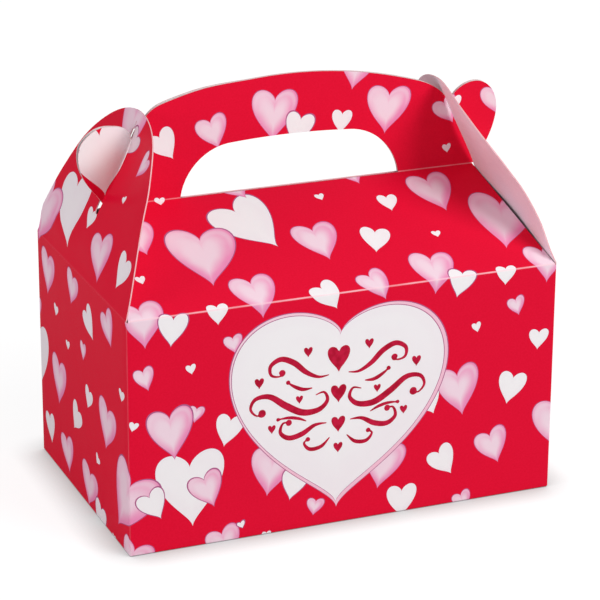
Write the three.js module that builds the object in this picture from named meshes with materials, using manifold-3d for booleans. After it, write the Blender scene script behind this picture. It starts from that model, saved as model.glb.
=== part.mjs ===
// Gable gift box folded from one sheet of printed card, shown closed.
// Millimetres, +Z up, origin on the floor under the middle of the box, front wall facing -Y.
// Every panel between two creases is a piece of its own. Its printed face is the reference:
// outlines are drawn on it, and the card's thickness lies on the inner side.

import * as THREE from "three";
import ManifoldModule from "manifold-3d";

// The carton
const width = 160;
const depth = 100;
const wallHeight = 86;
const ridgeRise = 23.7;
const board = 0.45;
const sheetGap = 0.3;

// The end flaps, measured along the card from their crease at the eave; the bridge is the card
// left over the slot
const flapLean = THREE.MathUtils.degToRad(22);
const flapBridge = 3.6;
const flapStraight = 37;
const flapTaper = 12;

// The handle, heights above the ridge crease
const handleRise = 40.8;
const archShoulder = 48;
const archDrop = 7.4;
const handHoleHalf = 41.5;
const handHoleRise = 18.9;
const handHoleShoulder = 24;
const handHoleDrop = 1;

// The ears on the handle's ends, which hook through the end flaps
const earNeck = 22.8;
const earWidest = 19.5;
const earTop = 30.3;
const earReach = 17.1;
const earRound = 9.1;
const neckInset = 0.9;

// How the top opens: roof lift for each degree of flap swing, and how far each half of the
// handle leans back over the middle for each degree of roof lift
const roofPerFlap = 0.2;
const leanPerLift = 0.5;
const slotClearance = 0.3;
const slotFoot = 3.4;

// The locking bottom, reaches measured from the wall that each flap hangs on
const mainFlapReach = 62;
const sideFlapReach = 36;
const sideFlapTaper = 16;
const tongueFlapReach = 45;
const tongueFlapTaper = 5;
const tongueHalf = 26;
const tongueRun = 9;
const tongueLength = 14;
const tongueCorner = 5;
const notchSidePlay = 5;
const notchEndPlay = 2;

// The glued seam inside the back right corner
const glueTabWidth = 15;
const glueTabTaper = 5;

const halfWidth = width / 2;
const halfDepth = depth / 2;
const layer = board + sheetGap;

// The roof runs from the eave to the handle sheets, which meet over the middle of the box.
const ridgeRun = halfDepth - sheetGap / 2 - board;
const roofSlope = Math.atan2(ridgeRise, ridgeRun);
const roofLength = Math.hypot(ridgeRun, ridgeRise);
const eaveFold = Math.PI / 2 - roofSlope;

// How far a panel stops short of an inward fold, so that the two sheets stay clear.
const shortOf = (fold) => board * Math.tan(fold / 2) + sheetGap / 2;

// Where a closed end flap's outer face stands over the ridge line at a height above it.
const flapFace = (height) => halfWidth - (ridgeRise + height) * Math.tan(flapLean);

// How far the ridge has risen and moved off the middle when the flaps have swung this far.
function ridgeMove(swing) {
  const lifted = roofSlope + roofPerFlap * swing;
  return {
    rise: roofLength * Math.sin(lifted) - ridgeRise,
    spread: ridgeRun - roofLength * Math.cos(lifted),
  };
}

// How far a handle sheet stands off the middle then, at a height above the ridge.
function sheetSpread(swing, height) {
  const leanBack = Math.sin(leanPerLift * roofPerFlap * swing);
  return sheetGap / 2 + board + ridgeMove(swing).spread - height * leanBack;
}

// Adds a quarter turn of an oval to an outline, leaving it upright or level.
function quarterTurn(path, x, y, leavesUpright) {
  const bulge = 0.55;
  const from = path.currentPoint;
  const dx = x - from.x;
  const dy = y - from.y;
  if (leavesUpright) {
    path.bezierCurveTo(from.x, from.y + bulge * dy, x - bulge * dx, y, x, y);
  } else {
    path.bezierCurveTo(from.x + bulge * dx, from.y, x, y - bulge * dy, x, y);
  }
}

// Closes an outline whose right half runs from the middle line back to the middle line.
function mirrored(half, smoothness = 14) {
  const right = half.getPoints(smoothness);
  const left = right.filter((point) => point.x > 1e-6).reverse();
  return [...right, ...left.map((point) => new THREE.Vector2(-point.x, point.y))];
}

function polygon(points) {
  return new THREE.Shape(points.map(([x, y]) => new THREE.Vector2(x, y)));
}

// A flat sheet with its printed face at z = 0 and its thickness behind it.
function sheet(outline) {
  const geometry = new THREE.ExtrudeGeometry(outline, { depth: board, bevelEnabled: false });
  return geometry.translate(0, 0, -board);
}

function wallSheet(length, topFold) {
  const end = length / 2 - shortOf(Math.PI / 2);
  const top = wallHeight - shortOf(topFold);
  return sheet(polygon([[-end, 0], [end, 0], [end, top], [-end, top]]));
}

// A roof panel narrows towards the ridge, clear of the end flaps that lean on its ends.
function roofSheet() {
  const besideFlap = (board + sheetGap) / Math.cos(flapLean);
  const endAt = (along) =>
    halfWidth - along * Math.sin(roofSlope) * Math.tan(flapLean) - besideFlap;
  const low = shortOf(eaveFold);
  const high = roofLength - sheetGap / 2;
  return sheet(
    polygon([[-endAt(low), low], [endAt(low), low], [endAt(high), high], [-endAt(high), high]]),
  );
}

// Half a handle: from the top of the hand hole down one leg, round the ear to its neck, and
// over the arch. The hand hole is open at the ridge, where the roof's cut edge closes it.
function handleSheet() {
  const foot = sheetGap / 2;
  const neck = flapFace(earNeck) - neckInset;
  const far = flapFace(earWidest) + earReach;
  const holeCorner = handHoleRise - handHoleDrop;
  const shoulder = handleRise - archDrop;
  const half = new THREE.Path();
  half.moveTo(0, handHoleRise);
  half.quadraticCurveTo(handHoleShoulder / 2, handHoleRise, handHoleShoulder, holeCorner);
  half.bezierCurveTo(
    handHoleShoulder + 0.52 * (handHoleHalf - handHoleShoulder), 0.93 * holeCorner,
    handHoleHalf - 0.07 * (handHoleHalf - handHoleShoulder), 0.5 * holeCorner,
    handHoleHalf, foot,
  );
  half.lineTo(flapFace(0), foot);
  half.bezierCurveTo(
    flapFace(0) + 0.66 * (far - flapFace(0)), 0.48 * earWidest,
    far, 0.7 * earWidest,
    far, earWidest,
  );
  quarterTurn(half, far - earRound, earTop, true);
  quarterTurn(half, neck, earNeck, false);
  half.bezierCurveTo(
    neck - 0.11 * (neck - archShoulder), earNeck + 0.45 * (shoulder - earNeck),
    archShoulder + 0.46 * (neck - archShoulder), shoulder - 0.15 * (shoulder - earNeck),
    archShoulder, shoulder,
  );
  half.quadraticCurveTo(archShoulder / 2, handleRise, 0, handleRise);
  return sheet(new THREE.Shape(mirrored(half)));
}

// The slot lets both ears out while the roof begins to lift. It ends above the ears' crown as
// the crown passes, and is as wide in the middle as the sheets have spread when the flap
// stands upright and the ears' far side leaves it.
const earCrown = flapFace(earWidest) + earReach - earRound;
const crownSwing = flapLean - Math.atan2(halfWidth - earCrown, ridgeRise + earTop);
const crownHeight = ridgeRise + earTop + ridgeMove(crownSwing).rise;
const slotTop = Math.hypot(halfWidth - earCrown, crownHeight) + slotClearance;
const slotLow = ridgeRise / Math.cos(flapLean) - slotFoot;
const flapLength = slotTop + flapBridge;

function flapSlot() {
  const middle = sheetSpread(flapLean, earWidest) + slotClearance;
  const end = sheetSpread(crownSwing, earTop) + slotClearance;
  const side = new THREE.Path();
  side.moveTo(0, slotLow);
  side.lineTo(end, slotLow);
  side.quadraticCurveTo(2 * middle - end, (slotLow + slotTop) / 2, end, slotTop);
  side.lineTo(0, slotTop);
  return new THREE.Path(mirrored(side, 10));
}

function endFlapSheet() {
  const half = new THREE.Path();
  const cheek = halfDepth - flapTaper;
  const crown = flapLength - flapStraight;
  half.moveTo(0, shortOf(flapLean));
  half.lineTo(halfDepth - sheetGap, shortOf(flapLean));
  half.lineTo(cheek, flapStraight);
  half.bezierCurveTo(
    0.91 * cheek, flapStraight + 0.45 * crown,
    0.45 * cheek, flapLength,
    0, flapLength,
  );
  const outline = new THREE.Shape(mirrored(half));
  outline.holes.push(flapSlot());
  return sheet(outline);
}

// The bottom's first and widest flap, with the notch that the tongue comes up through.
function mainFlapSheet() {
  const half = halfWidth - 2 * board - sheetGap;
  const notch = tongueHalf + notchSidePlay;
  const notchFloor = depth - tongueFlapReach - tongueRun - notchEndPlay;
  return sheet(
    polygon([
      [-half, layer], [half, layer], [half, mainFlapReach],
      [notch, mainFlapReach], [notch, notchFloor],
      [-notch, notchFloor], [-notch, mainFlapReach], [-half, mainFlapReach],
    ]),
  );
}

function sideFlapSheet() {
  const half = halfDepth - 2 * board - sheetGap;
  return sheet(
    polygon([
      [-half, layer], [half, layer],
      [half - sideFlapTaper, sideFlapReach], [-half + sideFlapTaper, sideFlapReach],
    ]),
  );
}

function glueTabSheet() {
  const top = wallHeight - shortOf(eaveFold) - sheetGap;
  return sheet(
    polygon([
      [layer, layer * 3], [glueTabWidth, layer * 3 + glueTabTaper],
      [glueTabWidth, top - glueTabTaper], [layer, top],
    ]),
  );
}

// The bottom's last flap is flat under the others, and its tongue steps up through the notch
// to lie on the first flap. Here y is the distance from the back wall and z the height.
async function tongueFlapSolid() {
  const { Manifold, CrossSection } = await manifoldLibrary();
  const half = halfWidth - 2 * board - sheetGap;
  const plate = CrossSection.ofPolygons([[
    [-half, layer], [half, layer],
    [half - tongueFlapTaper, tongueFlapReach], [-half + tongueFlapTaper, tongueFlapReach],
  ]]).extrude(board);
  const rampFoot = tongueFlapReach - board;
  const rampTop = rampFoot + tongueRun;
  const tip = rampTop + tongueLength;
  const high = 3 * layer;
  const side = CrossSection.ofPolygons([[
    [rampFoot, 0], [rampFoot + board, 0], [rampTop + board, high], [tip, high],
    [tip, high + board], [rampTop, high + board], [rampFoot, board],
  ]]);
  const bar = side.extrude(2 * tongueHalf).rotate([90, 0, 90]).translate([-tongueHalf, 0, 0]);
  const outline = CrossSection.ofPolygons([[
    [-tongueHalf, 0], [tongueHalf, 0], [tongueHalf, tip - tongueCorner],
    [tongueHalf - tongueCorner, tip], [-tongueHalf + tongueCorner, tip],
    [-tongueHalf, tip - tongueCorner],
  ]]).extrude(high + board);
  return fromManifold(plate.add(bar.intersect(outline)));
}

async function manifoldLibrary() {
  const library = await ManifoldModule();
  library.setup();
  return library;
}

function fromManifold(solid) {
  const { numProp, vertProperties, triVerts } = solid.getMesh();
  const positions = new Float32Array((vertProperties.length / numProp) * 3);
  for (let i = 0; i < positions.length / 3; i += 1) {
    positions.set(vertProperties.subarray(i * numProp, i * numProp + 3), i * 3);
  }
  const geometry = new THREE.BufferGeometry();
  geometry.setAttribute("position", new THREE.BufferAttribute(positions, 3));
  geometry.setIndex(Array.from(triVerts));
  return geometry;
}

const box = new THREE.Group();

// A frame whose x runs along one side of the box, y up and z out of it. Turn 0 is the front.
function sideFrame(turn, distance) {
  const around = new THREE.Group();
  around.rotation.z = turn;
  const face = new THREE.Group();
  face.rotation.x = Math.PI / 2;
  face.position.y = -distance;
  around.add(face);
  box.add(around);
  return face;
}

// A crease at a height on its parent. What it carries is folded inwards by the angle.
function crease(parent, height, fold) {
  const line = new THREE.Group();
  line.position.y = height;
  line.rotation.x = -fold;
  parent.add(line);
  return line;
}

// The frame of a bottom flap: y runs inwards from the side's lower edge and z up.
const floorFrame = (side, level) => crease(side, level, Math.PI / 2);

function place(frame, name, geometry, look) {
  const mesh = new THREE.Mesh(geometry, new THREE.MeshStandardMaterial(look));
  mesh.name = name;
  frame.add(mesh);
}

const glossRed = { color: 0xdc1a33, roughness: 0.34, metalness: 0 };
const shadedRed = { color: 0xc4283f, roughness: 0.36, metalness: 0 };
const bareBoard = { color: 0xeeeaea, roughness: 0.8, metalness: 0 };

const front = sideFrame(0, halfDepth);
const right = sideFrame(Math.PI / 2, halfWidth);
const back = sideFrame(Math.PI, halfDepth);
const left = sideFrame(-Math.PI / 2, halfWidth);

place(front, "front_wall", wallSheet(width, eaveFold), glossRed);
place(back, "back_wall", wallSheet(width, eaveFold), glossRed);
place(left, "left_end_wall", wallSheet(depth, flapLean), shadedRed);
place(right, "right_end_wall", wallSheet(depth, flapLean), shadedRed);

for (const [side, name] of [[front, "front"], [back, "back"]]) {
  const roof = crease(side, wallHeight, eaveFold);
  place(roof, `${name}_roof`, roofSheet(), glossRed);
  const handle = crease(roof, roofLength, -eaveFold);
  place(handle, `${name}_handle`, handleSheet(), glossRed);
}

for (const [side, name] of [[left, "left"], [right, "right"]]) {
  const flap = crease(side, wallHeight, flapLean);
  place(flap, `${name}_end_flap`, endFlapSheet(), shadedRed);
  place(floorFrame(side, layer + board), `bottom_${name}_flap`, sideFlapSheet(), glossRed);
}

place(floorFrame(front, 2 * layer + board), "bottom_main_flap", mainFlapSheet(), glossRed);
place(floorFrame(back, 0), "bottom_tongue_flap", await tongueFlapSolid(), glossRed);

// The glue tab hangs on the right end wall's back edge, flat against the back wall's inside.
const tabFrame = new THREE.Group();
tabFrame.position.set(-halfWidth, 0, -layer);
back.add(tabFrame);
place(tabFrame, "glue_tab", glueTabSheet(), bareBoard);

export default box;
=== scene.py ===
import math

import bmesh
import bpy
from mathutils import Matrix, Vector
from mathutils.geometry import delaunay_2d_cdt


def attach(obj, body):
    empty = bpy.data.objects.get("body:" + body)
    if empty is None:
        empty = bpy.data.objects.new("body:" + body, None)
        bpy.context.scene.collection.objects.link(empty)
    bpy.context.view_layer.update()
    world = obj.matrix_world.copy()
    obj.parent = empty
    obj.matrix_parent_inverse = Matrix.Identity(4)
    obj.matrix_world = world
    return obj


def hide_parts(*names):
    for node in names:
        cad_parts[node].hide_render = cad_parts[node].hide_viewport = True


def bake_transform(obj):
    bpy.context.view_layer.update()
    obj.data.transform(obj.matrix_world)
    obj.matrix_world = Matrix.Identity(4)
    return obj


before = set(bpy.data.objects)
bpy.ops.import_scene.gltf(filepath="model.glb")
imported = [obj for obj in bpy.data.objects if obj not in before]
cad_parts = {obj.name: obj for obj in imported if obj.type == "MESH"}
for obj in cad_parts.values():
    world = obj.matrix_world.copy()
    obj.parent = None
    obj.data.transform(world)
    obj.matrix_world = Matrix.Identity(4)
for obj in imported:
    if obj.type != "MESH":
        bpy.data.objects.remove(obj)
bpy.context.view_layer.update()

MM = 0.001
board = 0.45
box_width = 160
box_depth = 100
eave = 86
ridge_rise = 23.7
ridge_run = box_depth / 2 - 0.15 - board
roof_slope = math.atan2(ridge_rise, ridge_run)
roof_length = math.hypot(ridge_rise, ridge_run)
eave_fold = math.pi / 2 - roof_slope
ridge = eave + roof_length
flap_lean = math.radians(22)

# Half the width of card that each crease bends
corner_bend = 0.7
eave_bend = 0.6
flap_bend = 0.4
ridge_bend = 0.3
foot_bend = 0.6


def fold_over(run, depth, crease, half_bend, fold):
    """Folds the card inwards at a crease. Run is the way along it, depth is under its printed face."""
    start = crease - half_bend
    if run <= start:
        return run, depth
    radius = half_bend / math.tan(fold / 2)
    turned = fold * min(1, (run - start) / (2 * half_bend))
    beyond = max(0, run - crease - half_bend)
    arm = radius - depth
    return (
        start + arm * math.sin(turned) + beyond * math.cos(fold),
        radius - arm * math.cos(turned) + beyond * math.sin(fold),
    )


def on_side(turn, distance, across, height, depth):
    """A point of a side of the box. Turn 0 is the front, a quarter turn the right end."""
    x, y = across, -distance + depth
    c, s = math.cos(turn), math.sin(turn)
    return Vector((c * x - s * y, s * x + c * y, height))


def inside(point, loop):
    """Whether a point lies inside an outline."""
    hit = False
    for (ax, ay), (bx, by) in zip(loop, loop[1:] + loop[:1]):
        if (ay > point[1]) != (by > point[1]):
            if point[0] < ax + (bx - ax) * (point[1] - ay) / (by - ay):
                hit = not hit
    return hit


def gap_to(point, loop):
    """How near a point lies to an outline."""
    nearest = math.inf
    px, py = point
    for (ax, ay), (bx, by) in zip(loop, loop[1:] + loop[:1]):
        dx, dy = bx - ax, by - ay
        t = ((px - ax) * dx + (py - ay) * dy) / max(1e-12, dx * dx + dy * dy)
        t = min(1, max(0, t))
        nearest = min(nearest, math.hypot(px - ax - t * dx, py - ay - t * dy))
    return nearest


def stepped(low, high, step):
    """Evenly spaced values from low to high, about a step apart."""
    count = max(1, round((high - low) / step))
    return [low + (high - low) * i / count for i in range(count + 1)]


least_step = 0.02
clear_of_edge = 0.1


def cut_at(loop, columns, rows):
    """The outline with a point wherever a lattice line crosses it."""
    out = []
    for (ax, ay), (bx, by) in zip(loop, loop[1:] + loop[:1]):
        stops = {0.0}
        if abs(bx - ax) > 1e-9:
            stops |= {(x - ax) / (bx - ax) for x in columns}
        if abs(by - ay) > 1e-9:
            stops |= {(y - ay) / (by - ay) for y in rows}
        length = math.hypot(bx - ax, by - ay)
        last = -1.0
        for t in sorted(stops):
            room_behind = (t - last) * length > least_step
            room_ahead = t == 0 or (1 - t) * length > least_step
            if 0 <= t < 1 and room_behind and room_ahead:
                out.append((ax + (bx - ax) * t, ay + (by - ay) * t))
                last = t
    return out


def cut_card(name, outline, holes, columns, rows, place, middle, finishes):
    """A piece of board cut to an outline. Place folds a point of the flat sheet into the box."""
    loops = [cut_at(loop, columns, rows) for loop in [outline, *holes]]
    points = [point for loop in loops for point in loop]
    edges, first = [], 0
    for loop in loops:
        edges += [(first + i, first + (i + 1) % len(loop)) for i in range(len(loop))]
        first += len(loop)
    for x in columns:
        for y in rows:
            if inside((x, y), loops[0]) and not any(inside((x, y), hole) for hole in loops[1:]):
                if min(gap_to((x, y), loop) for loop in loops) > clear_of_edge:
                    points.append((x, y))
    flat, _, faces, _, _, _ = delaunay_2d_cdt([Vector(p) for p in points], edges, [], 1, 1e-5)
    mesh = bmesh.new()
    sheet_map = mesh.loops.layers.uv.new("Sheet")
    tops = [mesh.verts.new(place(p.x, p.y, 0) * MM) for p in flat]
    unders = [mesh.verts.new(place(p.x, p.y, board) * MM) for p in flat]

    def face(corners, finish, spots):
        made = mesh.faces.new(corners)
        made.material_index = finish
        made.smooth = True
        for loop, spot in zip(made.loops, spots):
            loop[sheet_map].uv = spot

    rims = {}
    for corners in faces:
        middle_of = [sum(flat[i][k] for i in corners) / len(corners) for k in (0, 1)]
        if any(inside(middle_of, hole) for hole in loops[1:]) or not inside(middle_of, loops[0]):
            continue
        spots = [(middle + flat[i].x, flat[i].y) for i in corners]
        face([tops[i] for i in corners], 0, spots)
        face([unders[i] for i in reversed(corners)], 1, spots[::-1])
        for a, b in zip(corners, corners[1:] + corners[:1]):
            rims[(a, b)] = True
    for a, b in [pair for pair in rims if pair[::-1] not in rims]:
        spots = [(middle + flat[i].x, flat[i].y) for i in (a, b)]
        under = [(x + board, y + board) for x, y in spots]
        face([tops[b], tops[a], unders[a], unders[b]], 2, [spots[1], spots[0], *under])
    for edge in mesh.edges:
        kinds = {f.material_index for f in edge.link_faces}
        if len(kinds) > 1:
            edge.smooth = False
    for loose in [v for v in mesh.verts if not v.link_faces]:
        mesh.verts.remove(loose)
    data = bpy.data.meshes.new(name)
    mesh.to_mesh(data)
    mesh.free()
    for finish in finishes:
        data.materials.append(finish)
    piece = bpy.data.objects.new(name, data)
    bpy.context.scene.collection.objects.link(piece)
    return piece


def screen(red, green, blue):
    """A colour as it looks on a screen, 0 to 255, as Blender's linear colour."""
    linear = [
        v / 255 / 12.92 if v < 11 else ((v / 255 + 0.055) / 1.055) ** 2.4 for v in (red, green, blue)
    ]
    return (*linear, 1)


def wire(tree, kind, inputs=None, gives=0, **settings):
    """Adds a shader node, joins or sets its inputs, and returns one of its outputs."""
    made = tree.nodes.new(kind)
    for name, value in settings.items():
        setattr(made, name, value)
    for name, value in (inputs or {}).items():
        if isinstance(value, bpy.types.NodeSocket):
            tree.links.new(value, made.inputs[name])
        else:
            made.inputs[name].default_value = value
    return made.outputs[gives]


def calc(tree, operation, *values):
    """One step of arithmetic."""
    return wire(tree, "ShaderNodeMath", dict(enumerate(values)), operation=operation)


def mix_ink(tree, share, under, over):
    """Lays one colour over another by a share."""
    return wire(tree, "ShaderNodeMix", {0: share, 6: under, 7: over}, gives=2, data_type="RGBA")


def mix_value(tree, share, under, over):
    """Takes one value or the other by a share."""
    return wire(tree, "ShaderNodeMix", {0: share, 2: under, 3: over})


def spread(tree, value, low, high, to_low=0.0, to_high=1.0, soft=True):
    """Carries a value from one range to another."""
    kind = "SMOOTHSTEP" if soft else "LINEAR"
    return wire(
        tree, "ShaderNodeMapRange", {0: value, 1: low, 2: high, 3: to_low, 4: to_high},
        interpolation_type=kind,
    )


def effect(name, takes, gives):
    """An empty node group with named inputs and outputs."""
    tree = bpy.data.node_groups.new(name, "ShaderNodeTree")
    for direction, labels in (("INPUT", takes), ("OUTPUT", gives)):
        for label, kind in labels.items():
            tree.interface.new_socket(label, in_out=direction, socket_type=f"NodeSocket{kind}")
    return tree, tree.nodes.new("NodeGroupInput").outputs, tree.nodes.new("NodeGroupOutput").inputs


def use(tree, group, **inputs):
    """Places a node group with its own values. An underscore stands for a space in an input's name."""
    made = tree.nodes.new("ShaderNodeGroup")
    made.node_tree = group
    for name, value in inputs.items():
        socket = made.inputs[name.replace("_", " ")]
        if isinstance(value, bpy.types.NodeSocket):
            tree.links.new(value, socket)
        else:
            socket.default_value = value
    return made.outputs


# The inks of the print, as colours of a heart's middle and of its rim. A tone is an ink's number plus how
# far it has gone from the middle's colour to the rim's. The greyed pink is white ink with painted shade,
# used for the one heart beside the left flap's slot, where the ear shades the flap.
pink, white, white_in_painted_shade, big_rim, key_ink = 1, 2, 3, 4, 5
inks = {
    pink: (screen(245, 219, 231), screen(240, 144, 189)),
    white: (screen(247, 245, 246), screen(245, 240, 243)),
    white_in_painted_shade: (screen(232, 214, 220), screen(226, 205, 212)),
    big_rim: (screen(249, 234, 239), screen(246, 196, 214)),
    key_ink: (screen(176, 92, 138), screen(176, 92, 138)),
}
tone_range = 0.9
print_inks, given, out = effect("Print inks", {"Tone": "Float", "Ground": "Color"}, {"Ink": "Color"})
tree = print_inks
ink = given["Ground"]
for number, (middle_ink, rim_ink) in inks.items():
    laid = calc(tree, "COMPARE", given["Tone"], number + tone_range / 2, 0.5)
    faded = spread(tree, given["Tone"], number, number + tone_range, soft=False)
    ink = mix_ink(tree, laid, ink, mix_ink(tree, faded, middle_ink, rim_ink))
tree.links.new(ink, out["Ink"])

# One heart of the print. The rim ink fades to a paler middle that lies left and high, a paler ring runs
# inside the upper lobes, and a fine key line closes its edge. The tone under it goes in as its unused
# height, so that the renderer works one heart after another and keeps few values in hand.
lobe_power = 0.6
small_lobe_rise, big_lobe_rise = 0.95, 0.62
printed_heart, given, out = effect(
    "Printed heart",
    {
        "Under": "Float", "Sheet": "Vector", "Place": "Vector", "Size": "Vector", "Lean": "Float",
        "Lobe rise": "Float", "Ink number": "Float", "Key line": "Float", "Cloud": "Float",
    },
    {"Tone": "Float"},
)
tree = printed_heart
turned = wire(tree, "ShaderNodeCombineXYZ", {2: given["Lean"]})
after = wire(tree, "ShaderNodeCombineXYZ", {2: given["Under"]})
place = wire(tree, "ShaderNodeVectorMath", {0: given["Place"], 1: after}, operation="ADD")
own = wire(
    tree, "ShaderNodeMapping", {0: given["Sheet"], 1: place, 2: turned, 3: given["Size"]},
    vector_type="TEXTURE",
)
split = tree.nodes.new("ShaderNodeSeparateXYZ")
tree.links.new(own, split.inputs[0])
across, up = split.outputs[0], split.outputs[1]
sideways = calc(tree, "ABSOLUTE", across)
lobe = calc(tree, "POWER", sideways, lobe_power)
lobe = calc(tree, "MULTIPLY", lobe, given["Lobe rise"])
level = calc(tree, "SUBTRACT", up, lobe)
squares = calc(tree, "ADD", calc(tree, "MULTIPLY", sideways, sideways), calc(tree, "MULTIPLY", level, level))
from_middle = calc(tree, "SQRT", squares)
lopsided = calc(tree, "MULTIPLY_ADD", across, 0.2, from_middle)
lopsided = calc(tree, "MULTIPLY_ADD", up, -0.12, lopsided)
faded = spread(tree, calc(tree, "ADD", lopsided, given["Cloud"]), 0.25, 1.05)
ring = calc(tree, "MULTIPLY", spread(tree, from_middle, 0.7, 0.83), spread(tree, from_middle, 0.95, 0.86))
dull = calc(tree, "MULTIPLY", ring, spread(tree, up, 0.1, 1.1, 0.0, -0.5))
faded = calc(tree, "MULTIPLY_ADD", faded, dull, faded)
body = calc(tree, "MULTIPLY_ADD", faded, tone_range, given["Ink number"])
keyed = calc(tree, "GREATER_THAN", from_middle, calc(tree, "SUBTRACT", 1.0, given["Key line"]))
body = mix_value(tree, keyed, body, key_ink + tone_range / 2)
covers = calc(tree, "LESS_THAN", from_middle, 1.0)
tree.links.new(mix_value(tree, covers, given["Under"], body), out["Tone"])

# A crease in coated board: the print is stretched and finely cracked, so the white board shows through. The
# same paler line also stands for the gloss catching light along the fold, which is a painted highlight.
crease_wear_and_highlight, given, out = effect(
    "Crease wear and painted highlight",
    {"Off crease": "Float", "Sheet": "Vector", "Half width": "Float", "Strength": "Float"},
    {"Mask": "Float"},
)
tree = crease_wear_and_highlight
off = calc(tree, "ABSOLUTE", given["Off crease"])
fibres = wire(tree, "ShaderNodeTexNoise", {"Vector": given["Sheet"], "Scale": 1.6, "Detail": 3.0})
patches = wire(tree, "ShaderNodeTexNoise", {"Vector": given["Sheet"], "Scale": 0.09, "Detail": 2.0})
wander = calc(tree, "MULTIPLY_ADD", fibres, 0.5, 0.75)
near = spread(tree, calc(tree, "DIVIDE", off, given["Half width"]), wander, 0.2)
uneven = calc(tree, "MULTIPLY", spread(tree, patches, 0.2, 0.7, 0.55, 1.0), near)
tree.links.new(calc(tree, "MULTIPLY", uneven, given["Strength"]), out["Mask"])

# The surface of coated board: a soft long wave from the fibres below and the fine mottle of the gloss coat
coated_board, given, out = effect(
    "Coated board", {"Sheet": "Vector"},
    {"Height": "Float", "Roughness": "Float", "Mottle": "Float", "Cloud": "Float"},
)
tree = coated_board
wave = wire(tree, "ShaderNodeTexNoise", {"Vector": given["Sheet"], "Scale": 0.055, "Detail": 2.0})
grain = wire(
    tree, "ShaderNodeTexNoise", {"Vector": given["Sheet"], "Scale": 1.4, "Detail": 4.0, "Roughness": 0.6}
)
tree.links.new(calc(tree, "MULTIPLY_ADD", wave, 1.0, calc(tree, "MULTIPLY", grain, 0.05)), out["Height"])
tree.links.new(spread(tree, grain, 0.3, 0.7, 0.34, 0.44), out["Roughness"])
tree.links.new(calc(tree, "MULTIPLY_ADD", grain, 0.16, -0.08), out["Mottle"])
cloud = wire(tree, "ShaderNodeTexNoise", {"Vector": given["Sheet"], "Scale": 0.08, "Detail": 2.0})
tree.links.new(calc(tree, "MULTIPLY_ADD", cloud, 0.6, -0.3), out["Cloud"])

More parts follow.
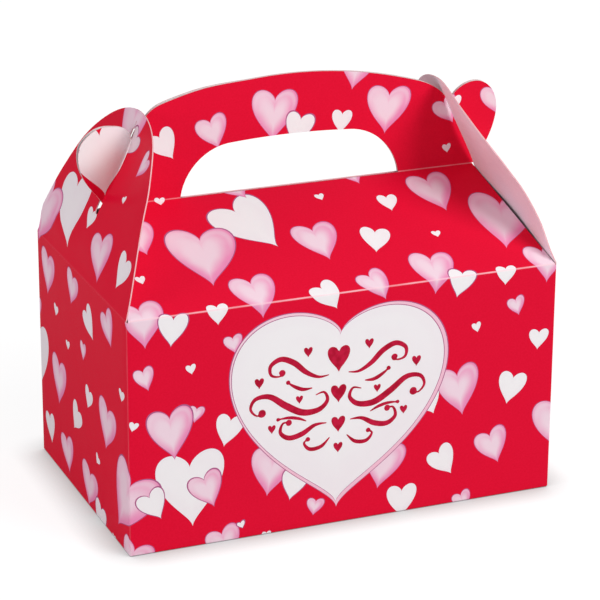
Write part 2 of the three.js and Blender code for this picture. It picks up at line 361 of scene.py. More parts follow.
# The heart print on the flat sheet: ink, tip, notch, width, width of the key line. The front column is the
# front wall with its roof and handle, centred on 0; the left column is the left end and its flap, centred
# on -130. Later hearts lie over earlier ones.
fine, faint, strong = 0.22, 0.1, 0.42
front_hearts = [
    (pink, (-73.4, 75.3), (-74.1, 90.3), 16.4, fine),
    (white, (-64.4, 74.6), (-63.3, 84.6), 11.4, strong),
    (white, (-47.4, 80.3), (-47.5, 86.9), 7.8, faint),
    (pink, (-31.1, 80.5), (-32.3, 95.6), 16.4, fine),
    (white, (-3.9, 80.3), (-8.6, 89.0), 11.0, faint),
    (pink, (14.3, 81.2), (10.1, 91.4), 11.8, fine),
    (pink, (32.9, 80.5), (34.8, 95.5), 16.4, fine),
    (white, (41.1, 78.1), (43.7, 87.1), 11.0, strong),
    (white, (59.9, 80.4), (60.2, 86.6), 7.8, faint),
    (pink, (76.1, 79.2), (76.8, 92.4), 14.6, fine),
    (pink, (-41.3, 69.3), (-42.2, 74.8), 7.1, fine),
    (white, (-45.7, 35.6), (-43.1, 44.8), 10.4, faint),
    (pink, (-29.8, 14.3), (-27.3, 28.8), 16.4, fine),
    (white, (-21.4, 11.3), (-18.9, 20.6), 10.7, strong),
    (pink, (12.0, 10.3), (15.2, 24.2), 16.0, fine),
    (white, (33.4, 35.8), (30.0, 44.0), 10.5, faint),
    (pink, (44.6, 33.5), (42.1, 48.9), 16.6, fine),
    (big_rim, (-3.6, 5.8), (-2.3, 71.7), 82.3, 0.35),
    (white, (-3.9, 7.7), (-2.7, 70.9), 79.9, 0.28),
    (pink, (-72.4, 60.1), (-74.3, 67.1), 7.5, fine),
    (white, (-56.9, 63.9), (-57.4, 66.9), 3.8, faint),
    (white, (-78.6, 46.2), (-77.7, 48.9), 3.7, faint),
    (pink, (-56.3, 46.0), (-55.3, 51.0), 6.2, fine),
    (white, (-57.1, 7.6), (-58.0, 30.0), 25.1, faint),
    (pink, (-63.3, 33.4), (-65.1, 49.1), 17.2, strong),
    (pink, (-49.1, 13.6), (-52.9, 24.4), 13.0, strong),
    (pink, (-92.1, 6.9), (-79.6, 26.3), 25.2, strong),
    (white, (-68.4, 12.3), (-72.7, 21.1), 11.1, strong),
    (pink, (-84.4, -11.0), (-78.4, 2.0), 16.0, fine),
    (pink, (-43.0, -8.4), (-46.4, 2.7), 13.0, fine),
    (white, (-38.6, 3.6), (-39.5, 6.1), 3.7, strong),
    (white, (-29.7, -2.7), (-29.8, 0.4), 3.6, faint),
    (pink, (-12.4, 4.1), (-11.3, 9.4), 7.0, fine),
    (white, (61.8, 35.1), (64.3, 44.7), 11.3, faint),
    (pink, (85.0, 12.5), (82.2, 30.5), 20.0, fine),
    (pink, (59.4, 12.8), (55.7, 23.7), 13.0, fine),
    (white, (40.9, 11.5), (35.9, 20.1), 10.6, faint),
    (white, (21.6, -2.4), (21.6, 7.9), 11.7, faint),
    (pink, (47.2, -4.1), (44.9, 2.3), 7.6, fine),
    (pink, (65.7, 68.4), (64.1, 74.2), 7.0, fine),
    (white, (49.7, 64.2), (49.0, 67.3), 3.7, faint),
    (white, (73.4, 54.3), (73.9, 60.6), 7.9, faint),
    (white, (-16.6, 110.8), (-25.9, 130.6), 23.8, strong),
    (pink, (-45.3, 96.6), (-42.9, 119.1), 25.2, strong),
    (pink, (-19.4, 136.6), (-24.0, 146.6), 12.5, fine),
    (pink, (23.9, 136.9), (21.9, 145.9), 10.0, fine),
    (white, (7.2, 131.0), (6.8, 133.7), 3.7, faint),
    (pink, (-0.7, 101.7), (-1.9, 116.5), 16.9, fine),
    (white, (16.9, 102.4), (20.0, 111.9), 11.0, faint),
    (white, (30.4, 121.4), (30.8, 128.2), 7.6, faint),
    (pink, (50.4, 118.0), (49.1, 134.1), 16.8, fine),
    (pink, (64.6, 96.1), (71.2, 117.9), 23.6, fine),
    (white, (42.0, 105.9), (42.0, 108.5), 3.6, faint),
    (white, (-68.9, 101.9), (-69.1, 105.1), 3.7, faint),
    (pink, (-63.1, 115.1), (-64.5, 128.0), 14.6, fine),
    (white, (-50.7, 138.2), (-50.5, 141.1), 4.0, faint),
    (white, (-45.2, 155.1), (-50.1, 163.4), 10.4, faint),
    (pink, (-28.4, 157.0), (-31.5, 166.7), 12.0, fine),
    (pink, (-8.4, 157.2), (-7.3, 172.5), 17.5, fine),
    (white, (-0.2, 154.6), (2.5, 164.6), 11.6, strong),
    (white, (17.4, 157.5), (18.3, 164.5), 7.9, faint),
    (pink, (21.8, 173.0), (25.2, 187.8), 17.0, fine),
    (pink, (34.7, 155.5), (36.4, 169.7), 17.2, fine),
    (pink, (61.8, 156.7), (57.9, 164.6), 10.2, fine),
    (white, (59.7, 145.7), (59.3, 148.5), 3.6, faint),
    (white, (61.3, 160.6), (62.1, 165.8), 6.4, faint),
    (pink, (80.7, 157.0), (78.7, 166.4), 11.2, fine),
    (white, (-70.3, 144.9), (-72.6, 167.2), 25.6, faint),
    (pink, (-83.6, 157.4), (-84.2, 163.9), 8.0, strong),
]
left_hearts = [
    (pink, (-168.6, 65.2), (-167.2, 78.9), 15.9, fine),
    (pink, (-140.4, 71.2), (-137.9, 81.4), 12.9, fine),
    (white, (-115.6, 66.4), (-122.3, 74.1), 10.8, faint),
    (pink, (-95.9, 70.8), (-101.1, 80.2), 13.6, fine),
    (white, (-159.0, 60.4), (-158.4, 64.0), 5.2, faint),
    (pink, (-127.3, 54.6), (-127.1, 60.5), 6.6, fine),
    (white, (-85.9, 55.0), (-85.6, 58.6), 5.8, faint),
    (white, (-144.8, 52.4), (-145.1, 55.2), 4.6, faint),
    (pink, (-181.5, 51.0), (-181.8, 58.6), 9.4, fine),
    (white, (-181.0, 24.5), (-181.0, 45.3), 23.4, faint),
    (pink, (-157.6, 26.4), (-156.4, 41.4), 17.1, fine),
    (white, (-140.0, 24.1), (-135.1, 32.2), 11.0, faint),
    (white, (-123.2, 38.3), (-121.2, 44.9), 8.4, faint),
    (pink, (-103.7, 30.5), (-101.1, 44.9), 18.6, fine),
    (white, (-114.5, 21.0), (-112.7, 23.6), 4.8, faint),
    (white, (-168.2, 6.7), (-170.1, 16.1), 11.2, faint),
    (pink, (-147.2, 3.6), (-149.5, 14.9), 15.0, fine),
    (pink, (-125.1, 0.2), (-122.6, 12.7), 18.0, fine),
    (white, (-114.0, -6.4), (-111.1, 4.3), 12.6, strong),
    (white, (-97.3, -2.4), (-97.1, 0.4), 3.7, faint),
    (white, (-146.7, 90.2), (-152.9, 111.1), 24.6, faint),
    (pink, (-178.5, 82.5), (-171.5, 103.2), 25.0, strong),
    (white, (-133.2, 101.5), (-132.9, 107.6), 8.4, faint),
    (pink, (-113.1, 88.4), (-117.0, 101.7), 17.4, fine),
    (white, (-96.6, 92.1), (-94.2, 102.1), 11.7, faint),
    (pink, (-111.0, 127.8), (-106.8, 135.2), 8.8, fine),
    (white, (-111.9, 117.6), (-112.8, 119.7), 3.9, faint),
    (pink, (-131.5, 128.5), (-133.0, 147.8), 22.0, fine),
    # A white heart painted greyed: painted shade from the ear beside the slot
    (white_in_painted_shade, (-129.7, 131.0), (-125.1, 138.8), 10.4, strong),
]


def print_area(hearts, low, high):
    """The hearts that touch a part of the sheet."""
    picked = []
    for heart in hearts:
        _, tip, notch, width, _ = heart
        reach = width / 2 + 1
        if max(tip[0], notch[0]) + reach > low[0] and min(tip[0], notch[0]) - reach < high[0]:
            if max(tip[1], notch[1]) + reach > low[1] and min(tip[1], notch[1]) - reach < high[1]:
                picked.append(heart)
    return picked


def whole(hearts, low, high):
    """The hearts that lie wholly between two upright creases, and all those at the eave or above it."""
    kept = []
    for heart in hearts:
        _, tip, notch, width, _ = heart
        left, right = min(tip[0], notch[0] - width / 2), max(tip[0], notch[0] + width / 2)
        if tip[1] > eave - 6 or (left > low and right < high):
            kept.append(heart)
    return kept


def moved(hearts, along):
    """The same hearts further along the sheet."""
    return [
        (ink, (tip[0] + along, tip[1]), (notch[0] + along, notch[1]), width, key)
        for ink, tip, notch, width, key in hearts
    ]


def new_finish(name):
    """A material that is laid out on the flat sheet."""
    material = bpy.data.materials.new(name)
    material.use_nodes = True
    tree = material.node_tree
    return material, tree, tree.nodes["Principled BSDF"], wire(tree, "ShaderNodeUVMap", uv_map="Sheet")


def surface_of(tree, shader, roughness, gloss, height, strength, distance):
    """Gives a material its roughness, its gloss and the fine relief of its surface."""
    tree.links.new(roughness, shader.inputs["Roughness"])
    shader.inputs["Specular IOR Level"].default_value = gloss
    relief = {"Strength": strength, "Distance": distance, "Height": height}
    tree.links.new(wire(tree, "ShaderNodeBump", relief), shader.inputs["Normal"])


def printed_finish(name, hearts, level_creases=(), upright_creases=()):
    """Red printed board with its hearts, creases and gloss coat. The creases are painted paler, as wear and
    as a painted highlight.
    """
    material, tree, shader, sheet = new_finish(name)
    surface = use(tree, coated_board, Sheet=sheet)
    split = tree.nodes.new("ShaderNodeSeparateXYZ")
    tree.links.new(sheet, split.inputs[0])
    red = mix_ink(
        tree, spread(tree, surface["Mottle"], -0.03, 0.03), screen(226, 14, 50), screen(231, 18, 55)
    )
    tone = 0.0
    for number, tip, notch, width, key in hearts:
        dx, dy = notch[0] - tip[0], notch[1] - tip[1]
        tone = use(
            tree, printed_heart, Under=tone, Sheet=sheet, Ink_number=number, Key_line=key / (width / 2),
            Cloud=surface["Cloud"], Lobe_rise=big_lobe_rise if width > 40 else small_lobe_rise,
            Place=(tip[0] + dx / 2, tip[1] + dy / 2, 0), Lean=math.atan2(-dx, dy),
            Size=(width / 2, math.hypot(dx, dy) / 2, 1),
        )["Tone"]
    ink = use(tree, print_inks, Tone=tone, Ground=red)["Ink"]
    for socket, creases in ((1, level_creases), (0, upright_creases)):
        for crease, half_width, strength in creases:
            mask = use(
                tree, crease_wear_and_highlight, Off_crease=calc(tree, "SUBTRACT", split.outputs[socket], crease),
                Sheet=sheet, Half_width=half_width, Strength=strength,
            )["Mask"]
            # Pale pink along each crease: worn print and a painted highlight
            ink = mix_ink(tree, mask, ink, screen(247, 205, 214))
    tree.links.new(ink, shader.inputs["Base Color"])
    surface_of(tree, shader, surface["Roughness"], 0.05, surface["Height"], 0.25, 0.0006)
    return material


def board_finish(name, pale, shade, roughness):
    """Uncoated board: felted fibres, soft clouds of shade, no gloss."""
    material, tree, shader, sheet = new_finish(name)
    along = wire(tree, "ShaderNodeMapping", {0: sheet, 3: (1, 0.35, 1)})
    fibres = wire(
        tree, "ShaderNodeTexNoise", {"Vector": along, "Scale": 2.6, "Detail": 5.0, "Roughness": 0.7}
    )
    cloudy = wire(tree, "ShaderNodeTexNoise", {"Vector": sheet, "Scale": 0.12, "Detail": 3.0})
    tone = calc(tree, "MULTIPLY_ADD", fibres, 0.6, calc(tree, "MULTIPLY", cloudy, 0.4))
    tree.links.new(mix_ink(tree, spread(tree, tone, 0.3, 0.7), shade, pale), shader.inputs["Base Color"])
    uneven = spread(tree, fibres, 0.2, 0.8, roughness - 0.08, roughness + 0.08)
    surface_of(tree, shader, uneven, 0.25, fibres, 0.3, 0.0002)
    return material


bare_board = board_finish("Bare white board", screen(240, 236, 235), screen(228, 223, 222), 0.8)
# The inside of a flap is tinted faintly rosy. This is painted bounce light, standing for the red light the
# roof throws on it
flap_inside = board_finish("Bare board, inside of a flap, with painted rosy bounce", screen(242, 232, 238), screen(233, 221, 229), 0.8)
cut_edge = board_finish("Cut edge of the board", screen(243, 200, 204), screen(233, 168, 176), 0.9)

front_centre, left_centre, back_centre, right_centre = 0, -130, -260, 130
half_turn, quarter_turn = math.pi, math.pi / 2
walls = {
    "front_wall": (0, box_depth / 2, box_width, front_centre, eave - eave_bend),
    "left_end_wall": (-quarter_turn, box_width / 2, box_depth, left_centre, eave - flap_bend),
    "back_wall": (half_turn, box_depth / 2, box_width, back_centre, eave - eave_bend),
    "right_end_wall": (quarter_turn, box_width / 2, box_depth, right_centre, eave - flap_bend),
}
tab_crease = 49.25
tab_width = 15
tab_low, tab_high, tab_slant = 2.25, 85.3, 5
wall_hearts = {
    "front_wall": front_hearts + left_hearts,
    "left_end_wall": left_hearts + front_hearts,
    "back_wall": moved(whole(front_hearts, -79, 79), back_centre - front_centre) + left_hearts,
    "right_end_wall": moved(whole(left_hearts, -179, -81), right_centre - left_centre) + front_hearts,
}
wall_belly = 0.25


def wall_place(name):
    """Folds a wall's card at its foot and its corners. The wall bellies out a little in the middle."""
    turn, distance, length, _, _ = walls[name]
    back_end = tab_crease if name == "right_end_wall" else length / 2

    def place(x, y, w):
        bow = wall_belly * math.cos(math.pi * x / length) * math.sin(math.pi * min(1, max(0, y / eave)))
        down, depth = fold_over(-y, w - max(0, bow), 0, foot_bend, quarter_turn)
        crease = back_end if x > 0 else length / 2
        out, depth = fold_over(abs(x), depth, crease, corner_bend, quarter_turn)
        return on_side(turn, distance, math.copysign(out, x), -down, depth)

    return place


def bend_lines(crease, half_bend, count=6):
    """Lattice lines close enough together to carry a rounded crease."""
    return [crease - half_bend + 2 * half_bend * i / count for i in range(count + 1)]


for name, (_, _, length, centre, top) in walls.items():
    low, high = -length / 2, length / 2
    columns = bend_lines(low, corner_bend) + stepped(low + 5, high - 5, 5) + bend_lines(high, corner_bend)
    if name == "back_wall":
        low = -79.5
    if name == "right_end_wall":
        high = tab_crease
        columns += bend_lines(high, corner_bend)
    rows = bend_lines(0, foot_bend) + stepped(4, top - 4, 4.5)
    outline = [(low, -foot_bend), (high, -foot_bend), (high, top), (low, top)]
    near = print_area(wall_hearts[name], (centre - length / 2, -2), (centre + length / 2, top))
    # The eave crease and the corners are painted paler, as wear and as a painted highlight: the eave
    # strongly on the front and back walls, faintly on the end walls
    creases = [(eave, 0.5, 0.04 if "end" in name else 0.75)]
    corners = [(centre - length / 2, 0.45, 0.12), (centre + length / 2, 0.45, 0.12)]
    finish = printed_finish(f"Printed card, {name.replace('_', ' ')}", near, creases, corners)
    piece = cut_card(
        f"{name}_card", outline, [], sorted(set(columns)), rows, wall_place(name), centre,
        [finish, bare_board, cut_edge],
    )
    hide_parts(name)
    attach(piece, "carton")

tab_outline = [
    (tab_crease, tab_low), (tab_crease + tab_width, tab_low + tab_slant),
    (tab_crease + tab_width, tab_high - tab_slant), (tab_crease, tab_high),
]
tab = cut_card(
    "glue_tab_card", tab_outline, [], bend_lines(tab_crease, corner_bend) + [54.0, 59.0],
    stepped(6, 82, 6), wall_place("right_end_wall"), right_centre, [bare_board, bare_board, cut_edge],
)
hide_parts("glue_tab")
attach(tab, "carton")

# The ornament on the big heart: scrolls and small hearts, printed in crimson in one pass over the other
# inks. The ink stands on the card as a film a few hundredths of a millimetre thick.
film_foot, film_face = -0.008, -0.04
scroll_middle = -3.2
lines_of_scroll = [
    # Points along a stroke, measured sideways from the ornament's middle, and half the stroke's width
    ([(3.6, 56.6), (7.6, 56.4), (12.2, 58.8), (16.6, 62.8), (21.4, 64.8), (25.2, 62.8), (25.0, 59.4),
      (21.8, 58.6), (20.6, 60.8)], 1.05),
    ([(8.6, 49.8), (5.4, 50.4), (4.2, 47.2), (7.4, 44.2), (13.4, 44.0), (19.6, 47.4), (25.6, 51.6),
      (30.8, 51.4), (32.6, 48.0), (30.2, 45.2), (27.2, 46.6)], 1.25),
    ([(4.4, 38.8), (8.8, 38.6), (13.6, 36.0), (18.4, 35.2), (21.6, 37.6), (20.6, 41.0), (17.4, 40.6)], 1.0),
    ([(9.8, 52.6), (13.4, 52.6), (17.0, 54.4), (19.4, 56.4)], 0.7),
    ([(12.0, 40.6), (15.0, 42.0), (18.8, 42.8), (23.2, 42.6)], 0.6),
    ([(3.2, 33.2), (6.4, 30.2), (10.6, 29.8), (12.8, 32.4), (10.6, 34.0)], 0.75),
]
small_hearts = [
    # Place across and up, and width
    (0, 61.0, 8.4), (0, 48.4, 5.8), (0, 37.0, 5.2), (0, 28.4, 3.4), (11.4, 65.6, 3.2), (-11.4, 65.6, 3.2),
    (29.4, 56.6, 3.4), (-29.4, 56.6, 3.4), (14.6, 48.6, 2.6), (-14.6, 48.6, 2.6), (24.8, 39.0, 2.8),
    (-24.8, 39.0, 2.8),
]


def smooth_path(stops, per_span=9):
    """A soft curve through every stop."""
    padded = [stops[0], *stops, stops[-1]]
    path = []
    for around in zip(padded, padded[1:], padded[2:], padded[3:]):
        for i in range(per_span):
            t = i / per_span
            spot = []
            for p, q, r, s in zip(*around):
                square, cube = 2 * p - 5 * q + 4 * r - s, 3 * q - p - 3 * r + s
                spot.append(0.5 * (2 * q + (r - p) * t + square * t * t + cube * t ** 3))
            path.append(tuple(spot))
    return path + [stops[-1]]


hair_line = 0.18


def stroke_sides(path, swell):
    """Both sides of a pen stroke that starts as a hair line, swells, and ends in a small ball."""
    lengths = [0]
    for a, b in zip(path, path[1:]):
        lengths.append(lengths[-1] + math.dist(a, b))
    whole_length, ball = lengths[-1], 1.15 * swell
    left, right = [], []
    for i, (x, y) in enumerate(path):
        ahead, behind = path[min(i + 1, len(path) - 1)], path[max(i - 1, 0)]
        way = math.dist(ahead, behind)
        nx, ny = (behind[1] - ahead[1]) / way, (ahead[0] - behind[0]) / way
        along = lengths[i] / whole_length
        to_end = whole_length - lengths[i]
        half_width = hair_line + (swell - hair_line) * math.sin(math.pi * along ** 0.85) ** 1.3
        half_width = min(half_width, 0.9 * lengths[i] + 0.05)
        half_width = max(half_width, math.sqrt(max(0, ball ** 2 - (to_end - ball) ** 2)))
        if to_end < ball:
            half_width = math.sqrt(max(0.0004, ball ** 2 - (to_end - ball) ** 2))
        left.append((x + nx * half_width, y + ny * half_width))
        right.append((x - nx * half_width, y - ny * half_width))
    return left, right


def ink_film(name, wall, centre, finish):
    """Every stroke and small heart of the ornament as thin closed films on one wall."""
    mesh = bmesh.new()
    sheet_map = mesh.loops.layers.uv.new("Sheet")
    place = wall_place(wall)

    def add(spots, faces):
        face_points = [mesh.verts.new(place(x, y, film_face) * MM) for x, y in spots]
        foot_points = [mesh.verts.new(place(x, y, film_foot) * MM) for x, y in spots]
        rims = {(a, b) for corners in faces for a, b in zip(corners, corners[1:] + corners[:1])}
        for corners in faces:
            made = [(mesh.faces.new([face_points[i] for i in corners]), corners)]
            made.append((mesh.faces.new([foot_points[i] for i in reversed(corners)]), corners[::-1]))
            for face, order in made:
                for loop, i in zip(face.loops, order):
                    loop[sheet_map].uv = (centre + spots[i][0], spots[i][1])
        for a, b in sorted(pair for pair in rims if pair[::-1] not in rims):
            side = mesh.faces.new([face_points[b], face_points[a], foot_points[a], foot_points[b]])
            for loop, i in zip(side.loops, (b, a, a, b)):
                loop[sheet_map].uv = (centre + spots[i][0], spots[i][1])

    for stops, swell in lines_of_scroll:
        for hand in (1, -1):
            left, right = stroke_sides(smooth_path(stops), swell)
            spots = [(scroll_middle + hand * x, y) for x, y in left + right]
            count = len(left)
            quads = [[i, count + i, count + i + 1, i + 1] for i in range(count - 1)]
            add(spots, [quad[::hand] for quad in quads])
    for x, y, width in small_hearts:
        angles = [math.radians(a) for a in range(-90, 270, 12)]
        spots = []
        for a in angles:
            rise = math.sin(a) + small_lobe_rise * abs(math.cos(a)) ** lobe_power
            spots.append((scroll_middle + x + width / 2 * math.cos(a), y + width * 0.45 * rise))
        add(spots, [list(range(len(spots)))])
    data = bpy.data.meshes.new(name)
    mesh.to_mesh(data)
    mesh.free()
    data.materials.append(finish)
    film = bpy.data.objects.new(name, data)
    bpy.context.scene.collection.objects.link(film)
    return film


crimson, tree, shader, sheet = new_finish("Crimson ink film")
surface = use(tree, coated_board, Sheet=sheet)
pooled = wire(tree, "ShaderNodeTexNoise", {"Vector": sheet, "Scale": 0.35, "Detail": 3.0})
tree.links.new(
    mix_ink(tree, spread(tree, pooled, 0.35, 0.65), screen(176, 14, 48), screen(200, 26, 64)),
    shader.inputs["Base Color"],
)
surface_of(tree, shader, surface["Roughness"], 0.1, surface["Height"], 0.25, 0.0004)
for side in ("front", "back"):
    ornament = ink_film(f"{side}_ornament", f"{side}_wall", walls[f"{side}_wall"][3], crimson)
    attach(ornament, "carton")

# The roof panels. Each is the next panel up from the front or back wall, folded in at the eave crease and
# cut narrower towards the ridge to pass between the end flaps. Its top is a cut edge under the hand hole.
hole_half = 41.5
flap_clearance = 0.75
roof_dip = 0.3


def roof_end(y):
    """Half the roof's width at a height on the sheet, so that it stays clear of the leaning end flaps."""
    lean_in = (y - eave) * math.sin(roof_slope) * math.tan(flap_lean)
    return box_width / 2 - lean_in - flap_clearance / math.cos(flap_lean)


def column_place(turn, bow):
    """Folds the front or back column of the sheet at its eave and its ridge."""

    def place(x, y, w):
        run, depth = fold_over(y, w + bow(x, y), ridge, ridge_bend, -eave_fold)
        height, depth = fold_over(run, depth, eave, eave_bend, eave_fold)
        return on_side(turn, box_depth / 2, x, height, depth)

    return place


def roof_bow(x, y):
    """The roof bellies out by a hair in the middle."""
    up = min(1, max(0, (y - eave) / roof_length))
    return -roof_dip * math.cos(math.pi * x / 150) * math.sin(math.pi * up)


def ease(value, low, high):
    """Goes softly from 0 to 1 while the value goes from low to high."""
    t = min(1, max(0, (value - low) / (high - low)))
    return t * t * (3 - 2 * t)


slide, left_lift, left_drop = 1.2, 1.2, 1.2
left_longer, right_longer = 1.1, 0.6


def settled(x, y):
    """The arch and hand hole sit to the left, the arch's left shoulder stands high, and the ears differ."""
    rise = y - ridge
    ears = right_longer * ease(x, 66, 80) - left_longer * ease(-x, 66, 80)
    slid = ears * ease(rise, 2, 9) - slide * (1 - ease(abs(x), 46, 62))
    lifted = left_lift * ease(rise, 24, 34) * ease(-x, 14, 36) * (1 - ease(-x, 52, 58))
    lowered = left_drop * ease(rise, 22, 29) * ease(-x, 60, 68)
    return x + slid, y + lifted - lowered


def turned_over(outline):
    """The same outline seen from the other side, for the half at the back."""
    return [(-x, y) for x, y in reversed(outline)]


roof_foot = eave - eave_bend
roof_top = ridge - 0.15
hinge_top = ridge - ridge_bend
roof_outline = [
    (-roof_end(eave), roof_foot), (roof_end(eave), roof_foot), (roof_end(eave), eave),
    (roof_end(hinge_top), hinge_top), (hole_half, hinge_top), (hole_half, roof_top),
    (-hole_half, roof_top), (-hole_half, hinge_top), (-roof_end(hinge_top), hinge_top),
    (-roof_end(eave), eave),
]
roof_outline = [settled(x, y) for x, y in roof_outline]
roof_hearts = print_area(front_hearts, (-80, roof_foot), (80, ridge))
# The eave and ridge creases are painted paler, as wear and as a painted highlight
roof_finish = printed_finish("Printed card, roof", roof_hearts, [(eave, 0.5, 0.75), (ridge, 0.4, 0.35)])
roof_rows = bend_lines(eave, eave_bend, 8) + stepped(eave + 3, roof_top - 3, 4)
roof_sides = {"front": (0, roof_outline), "back": (half_turn, turned_over(roof_outline))}
for side, (turn, outline) in roof_sides.items():
    roof = cut_card(
        f"{side}_roof_card", outline, [], stepped(-76, 76, 5), roof_rows, column_place(turn, roof_bow),
        front_centre, [roof_finish, bare_board, cut_edge],
    )
    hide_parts(f"{side}_roof")
    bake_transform(roof)

# The handle halves. Each stands on its roof panel's ridge crease and ends in an ear at both sides. They lie
# back to back, and their ears hook out through the end flaps. The back half springs off a little.
arch_rise = 40.8
arch_shoulder, arch_drop = 48, 7.4
hole_rise, hole_shoulder, hole_drop = 18.9, 24, 1
neck_rise, widest_rise, ear_top = 22.8, 19.5, 30.3
ear_reach, ear_round, neck_inset = 17.1, 9.1, 0.9


def flap_face(height):
    """Half the distance between the end flaps at a height over the ridge."""
    return box_width / 2 - (ridge_rise + height) * math.tan(flap_lean)


def curve(path, *stops, count=12):
    """Carries an outline on along a curve with one or two pulls before its end."""
    points = [path[-1], *stops]
    for i in range(1, count + 1):
        level, t = points, i / count
        while len(level) > 1:
            level = [
                (a[0] + (b[0] - a[0]) * t, a[1] + (b[1] - a[1]) * t) for a, b in zip(level, level[1:])
            ]
        path.append(level[0])


def quarter(path, x, y, leaves_upright):
    """Carries an outline on around a quarter turn."""
    bulge = 0.55
    fx, fy = path[-1]
    if leaves_upright:
        curve(path, (fx, fy + bulge * (y - fy)), (x - bulge * (x - fx), y), (x, y))
    else:
        curve(path, (fx + bulge * (x - fx), fy), (x, y - bulge * (y - fy)), (x, y))


def mirrored(half):
    """The whole outline from its right half."""
    return half + [(-x, y) for x, y in reversed(half) if x > 1e-6]


neck = flap_face(neck_rise) - neck_inset
far = flap_face(widest_rise) + ear_reach
hole_corner = hole_rise - hole_drop
shoulder = arch_rise - arch_drop
half = [(0, hole_rise)]
curve(half, (hole_shoulder / 2, hole_rise), (hole_shoulder, hole_corner))
curve(
    half, (hole_shoulder + 0.52 * (hole_half - hole_shoulder), 0.93 * hole_corner),
    (hole_half - 0.07 * (hole_half - hole_shoulder), 0.5 * hole_corner), (hole_half, 0.15),
)
half += [(hole_half, -ridge_bend), (roof_end(hinge_top), -ridge_bend), (roof_end(hinge_top), 0.15)]
half.append((flap_face(0), 0.15))
curve(
    half, (flap_face(0) + 0.66 * (far - flap_face(0)), 0.48 * widest_rise), (far, 0.7 * widest_rise),
    (far, widest_rise),
)
quarter(half, far - ear_round, ear_top, True)
quarter(half, neck, neck_rise, False)
curve(
    half, (neck - 0.11 * (neck - arch_shoulder), neck_rise + 0.45 * (shoulder - neck_rise)),
    (arch_shoulder + 0.46 * (neck - arch_shoulder), shoulder - 0.15 * (shoulder - neck_rise)),
    (arch_shoulder, shoulder),
)
curve(half, (arch_shoulder / 2, arch_rise), (0, arch_rise))
handle_outline = [settled(x, y) for x, y in mirrored([(x, ridge + h) for x, h in half])]
ear_twist = 3.2
front_ear_lean, back_ear_lean, back_spring = 0.4, 0.7, 0.9


def twist(x, y):
    """The left ear is drawn towards the front and the right ear towards the back."""
    return math.copysign(ear_twist * ease(abs(x), 57, 82) * ease(y - ridge, 0, 18), x)


def front_handle_bow(x, y):
    """The front half's ears lean forwards a little."""
    return twist(x, y) - front_ear_lean * ease(abs(x), 68, 80) * ease(y - ridge, 4, 20)


def back_handle_bow(x, y):
    """The back half springs off the front one under the arch, and at its ears."""
    spring = back_spring * ease(y - ridge, 6, 30) * ease(abs(x), 10, 46) * (1 - ease(abs(x), 48, 56))
    return twist(x, y) - spring - back_ear_lean * ease(abs(x), 60, 78) * ease(y - ridge, 4, 20)


handle_hearts = print_area(front_hearts, (-80, ridge), (80, ridge + 42))
# The ridge crease is painted paler, as wear and as a painted highlight
handle_finish = printed_finish("Printed card, handle", handle_hearts, [(ridge, 0.4, 0.35)])
handle_rows = bend_lines(ridge, ridge_bend) + stepped(ridge + 2, ridge + 40, 3)
handle_sides = {
    "front": (0, front_handle_bow, handle_outline),
    "back": (half_turn, back_handle_bow, turned_over(handle_outline)),
}
for side, (turn, bow, outline) in handle_sides.items():
    handle = cut_card(
        f"{side}_handle_card", outline, [], stepped(-78, 78, 3), handle_rows, column_place(turn, bow),
        front_centre, [handle_finish, bare_board, cut_edge],
    )
    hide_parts(f"{side}_handle")
    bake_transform(handle)

# The end flaps. Each hangs on an end wall's eave crease, leans in over the roof's end and is hooked on the
# ears through its slot, which keeps the box shut. The ears pull it in there, and the card bows beside them.
flap_straight, flap_taper = 37, 12
slot_low, slot_top, flap_top = 22.2, 57.4, 61.0
slot_end_half, slot_middle_half = 1.25, 2.1
cheek = box_depth / 2 - flap_taper
half = [(box_depth / 2 - 0.6, -flap_bend), (box_depth / 2 - 0.3, flap_bend), (cheek, flap_straight)]
curve(
    half, (0.91 * cheek, flap_straight + 0.45 * (flap_top - flap_straight)), (0.45 * cheek, flap_top),
    (0, flap_top), count=16,
)
flap_outline = mirrored([(u, eave + v) for u, v in half])
right_flap_outline = [(u, y + 0.9 * ease(y - eave, 50, 61)) for u, y in flap_outline]
slit_half = 0.18


def slot(slit_low):
    """Open below for the two ears, and only a slit above them."""
    side = [(0, slot_low), (slot_end_half, slot_low)]
    curve(
        side, (2 * slot_middle_half - slot_end_half, 0.55 * slot_low + 0.45 * slit_low),
        (slot_end_half, slit_low - 0.6),
    )
    side += [(slit_half, slit_low), (slit_half, slot_top), (0, slot_top)]
    return [(u, eave + v) for u, v in side] + [(-u, eave + v) for u, v in reversed(side) if u > 1e-6]


left_slot, right_slot = slot(54.9), slot(55.8)
front_most, back_most, slot_most = 2.45, 2.9, 2.0
right_most, right_lean = 1.3, 3.3


def flap_place(turn, bow):
    """Folds an end flap's card in at the eave."""

    def place(x, y, w):
        height, depth = fold_over(y, w + bow(x, y), eave, flap_bend, flap_lean)
        return on_side(turn, box_width / 2, x, height, depth)

    return place


def left_flap_bow(u, y):
    """The front and back of this flap belly out beside the slot, the back lower down than the front."""
    v = y - eave
    front_belly = front_most * math.sin(math.pi * min(1, max(0, v / flap_top)) ** 1.46)
    back_belly = back_most * ease(v, 0, 12) * (1 - ease(v, 20, 56))
    slot_belly = slot_most * ease(v, 0, 14) * (1 - ease(v, 22, 44)) - 0.4 * ease(v, 40, 48)
    to_front, to_back = ease(u, 4, 34), ease(-u, 4, 34)
    return -(front_belly * to_front + back_belly * to_back + slot_belly * (1 - to_front - to_back))


def right_flap_bow(u, y):
    """This flap's front is at negative u. Its upper part leans in over the roof."""
    v = y - eave
    belly = right_most * ease(v, 2, 16) * (1 - ease(v, 18, 38))
    lean_in = right_lean * ease(v, 26, 52)
    return lean_in * (0.35 + 0.65 * ease(-u, 0, 22)) - belly * ease(-u, 4, 30)


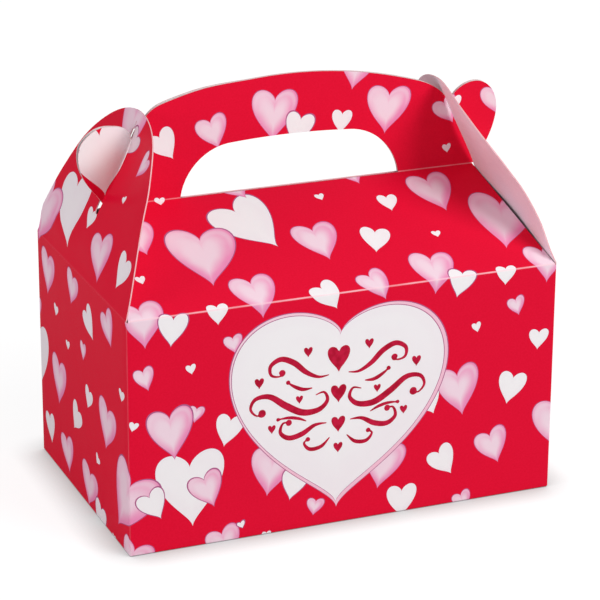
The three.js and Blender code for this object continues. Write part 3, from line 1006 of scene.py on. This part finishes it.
flap_hearts = print_area(left_hearts, (-180, eave - 1), (-80, eave + 62))
# The eave crease is painted only faintly paler, as wear and as a painted highlight
flap_finish = printed_finish("Printed card, end flap", flap_hearts, [(eave, 0.5, 0.04)])
flap_sides = {
    "left": (-quarter_turn, left_flap_bow, flap_outline, left_slot),
    "right": (quarter_turn, right_flap_bow, right_flap_outline, right_slot),
}
for side, (turn, bow, cut, opening) in flap_sides.items():
    flap = cut_card(
        f"{side}_end_flap_card", cut, [opening], stepped(-48, 48, 3),
        bend_lines(eave, flap_bend, 4) + stepped(eave + 2, eave + 59, 3), flap_place(turn, bow), left_centre,
        [flap_finish, flap_inside, cut_edge],
    )
    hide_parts(f"{side}_end_flap")
    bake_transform(flap)

# The locking bottom. Four flaps fold in from the walls' lower edges: the main one on top inside, the two
# end flaps under it, and the last one outermost, with its tongue hooked up through the main one's notch.
flap_root = 0.75
long_half, main_reach = 78.8, 62
notch_half, notch_floor = 31, 44
end_half, end_tip_half, end_reach = 48.8, 32.8, 36
shoulder_half, shoulder_reach = 73.8, 45
tongue_half, tongue_tip_half, tongue_straight, tongue_reach = 26, 21, 62.5, 67.5
tongue_step = 2.25


def floor_place(turn, distance, level):
    """Lays a bottom flap's card down at its level."""

    def place(x, y, w):
        return on_side(turn, distance, x, level(x, -y) + w, -y)

    return place


def inward(points):
    """Bottom outlines are drawn by their reach from the wall; the sheet runs down from its foot."""
    return [(x, -reach) for x, reach in reversed(points)]


main_outline = inward([
    (-long_half, flap_root), (long_half, flap_root), (long_half, main_reach), (notch_half, main_reach),
    (notch_half, notch_floor), (-notch_half, notch_floor), (-notch_half, main_reach),
    (-long_half, main_reach),
])
side_outline = inward([
    (-end_half, flap_root), (end_half, flap_root), (end_tip_half, end_reach), (-end_tip_half, end_reach),
])
tongue_outline = inward([
    (-long_half, flap_root), (long_half, flap_root), (shoulder_half, shoulder_reach),
    (tongue_half, shoulder_reach), (tongue_half, tongue_straight), (tongue_tip_half, tongue_reach),
    (-tongue_tip_half, tongue_reach), (-tongue_half, tongue_straight), (-tongue_half, shoulder_reach),
    (-shoulder_half, shoulder_reach),
])


def main_level(x, reach):
    return 1.5


def end_level(x, reach):
    return 0.75


def tongue_level(x, reach):
    """The tongue steps up from the outermost level to lie over the main flap."""
    return tongue_step * ease(reach, 44.5, 53.5)


bottom_hearts = print_area(front_hearts, (-80, -12), (80, 0))
bottom_finish = printed_finish("Printed card, bottom", bottom_hearts)
long_columns, end_columns = stepped(-75, 75, 6), stepped(-45, 45, 6)
bottom_flaps = {
    "bottom_main_flap": (main_outline, 0, box_depth / 2, main_level, long_columns),
    "bottom_left_flap": (side_outline, -quarter_turn, box_width / 2, end_level, end_columns),
    "bottom_right_flap": (side_outline, quarter_turn, box_width / 2, end_level, end_columns),
    "bottom_tongue_flap": (tongue_outline, half_turn, box_depth / 2, tongue_level, long_columns),
}
for name, (outline, turn, distance, level, columns) in bottom_flaps.items():
    farthest = max(-y for _, y in outline)
    rows = stepped(-farthest + 1, -3, 3)
    piece = cut_card(
        f"{name}_card", outline, [], columns, rows, floor_place(turn, distance, level), 0,
        [bottom_finish, bare_board, cut_edge],
    )
    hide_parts(name)
    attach(piece, "carton")

# The stage: a plain white floor that takes the box's soft shadow, deepened at its foot by a painted contact
# shadow, and soft studio light. The large lamp on the right lets the right flap shade the roof beside it.
# The small, faintly rosy lamp lights the left end.
floor_half = 6
floor_mesh = bpy.data.meshes.new("floor")
floor_mesh.from_pydata(
    [(-floor_half, -floor_half, 0), (floor_half, -floor_half, 0), (floor_half, floor_half, 0),
     (-floor_half, floor_half, 0)], [], [(0, 1, 2, 3)],
)
floor = bpy.data.objects.new("floor", floor_mesh)
floor.location.z = -0.0001
bpy.context.scene.collection.objects.link(floor)
floor_paper = bpy.data.materials.new("White studio floor")
floor_paper.use_nodes = True
tree = floor_paper.node_tree
tree.nodes.clear()
path = tree.nodes.new("ShaderNodeLightPath")
# The floor throws light back on the box as grey card does, and is seen whiter. Close to the box its glow is
# darkened by how much of it the box hides: a painted contact shadow over the real one.
grey_as_lit, grey_as_seen, seen_lift = 0.5, 0.27, 0.85
grey = calc(tree, "MULTIPLY_ADD", path.outputs["Is Camera Ray"], grey_as_seen - grey_as_lit, grey_as_lit)
matt = wire(tree, "ShaderNodeBsdfDiffuse", {"Color": grey})
# Painted contact shadow: occlusion darkens the floor's glow close to the box
painted_shadow_reach = 0.014
clear_of_painted_shadow = wire(tree, "ShaderNodeAmbientOcclusion", {"Distance": painted_shadow_reach}, gives="AO")
seen = calc(tree, "MULTIPLY", path.outputs["Is Camera Ray"], seen_lift)
lift = wire(tree, "ShaderNodeEmission", {"Strength": calc(tree, "MULTIPLY", seen, clear_of_painted_shadow)})
both = wire(tree, "ShaderNodeAddShader", {0: matt, 1: lift})
tree.links.new(both, tree.nodes.new("ShaderNodeOutputMaterial").inputs["Surface"])
floor_mesh.materials.append(floor_paper)


def soft_lamp(name, place, size, power, tint=(1, 1, 1)):
    """A square soft box aimed at the middle of the gift box. Power is in watts."""
    data = bpy.data.lights.new(name, "AREA")
    data.color = tint
    data.shape = "SQUARE"
    data.size = size
    data.energy = power
    lamp = bpy.data.objects.new(name, data)
    lamp.location = place
    lamp.rotation_euler = (box_middle - Vector(place)).to_track_quat("-Z", "Y").to_euler()
    bpy.context.scene.collection.objects.link(lamp)


box_middle = Vector((0, 0, 0.08))
soft_lamp("large lamp on the right", (1.0, -1.35, 1.15), 1.1, 28.5)
soft_lamp("lamp beyond the left end", (-1.8, -0.35, 0.5), 0.8, 12.5, (1, 0.86, 0.93))

world = bpy.data.worlds.new("Studio")
bpy.context.scene.world = world
world.use_nodes = True
tree = world.node_tree
tree.nodes.clear()
path = tree.nodes.new("ShaderNodeLightPath")
light_level = 0.37
level = calc(tree, "MULTIPLY_ADD", path.outputs["Is Camera Ray"], 1 - light_level, light_level)
sky = wire(tree, "ShaderNodeBackground", {"Color": (1, 1, 1, 1), "Strength": level})
tree.links.new(sky, tree.nodes.new("ShaderNodeOutputWorld").inputs["Surface"])

# The camera stands where the photograph was taken from: in front of the left corner and a little above.
from mathutils import Matrix

camera_data = bpy.data.cameras.new("camera")
camera_data.sensor_width = 36
camera_data.lens = 162.54
camera_data.clip_start = 0.05
camera_data.clip_end = 30
camera = bpy.data.objects.new("camera", camera_data)
stand = (-0.3448, -0.8467, 0.4057)
turned, raised, rolled = math.radians(-22.32), math.radians(20.40), math.radians(0.35)
camera.matrix_world = (
    Matrix.Translation(stand) @ Matrix.Rotation(turned, 4, "Z")
    @ Matrix.Rotation(math.pi / 2 - raised, 4, "X") @ Matrix.Rotation(rolled, 4, "Z")
)
bpy.context.scene.collection.objects.link(camera)
bpy.context.scene.camera = camera
bpy.context.scene.view_settings.view_transform = "Standard"
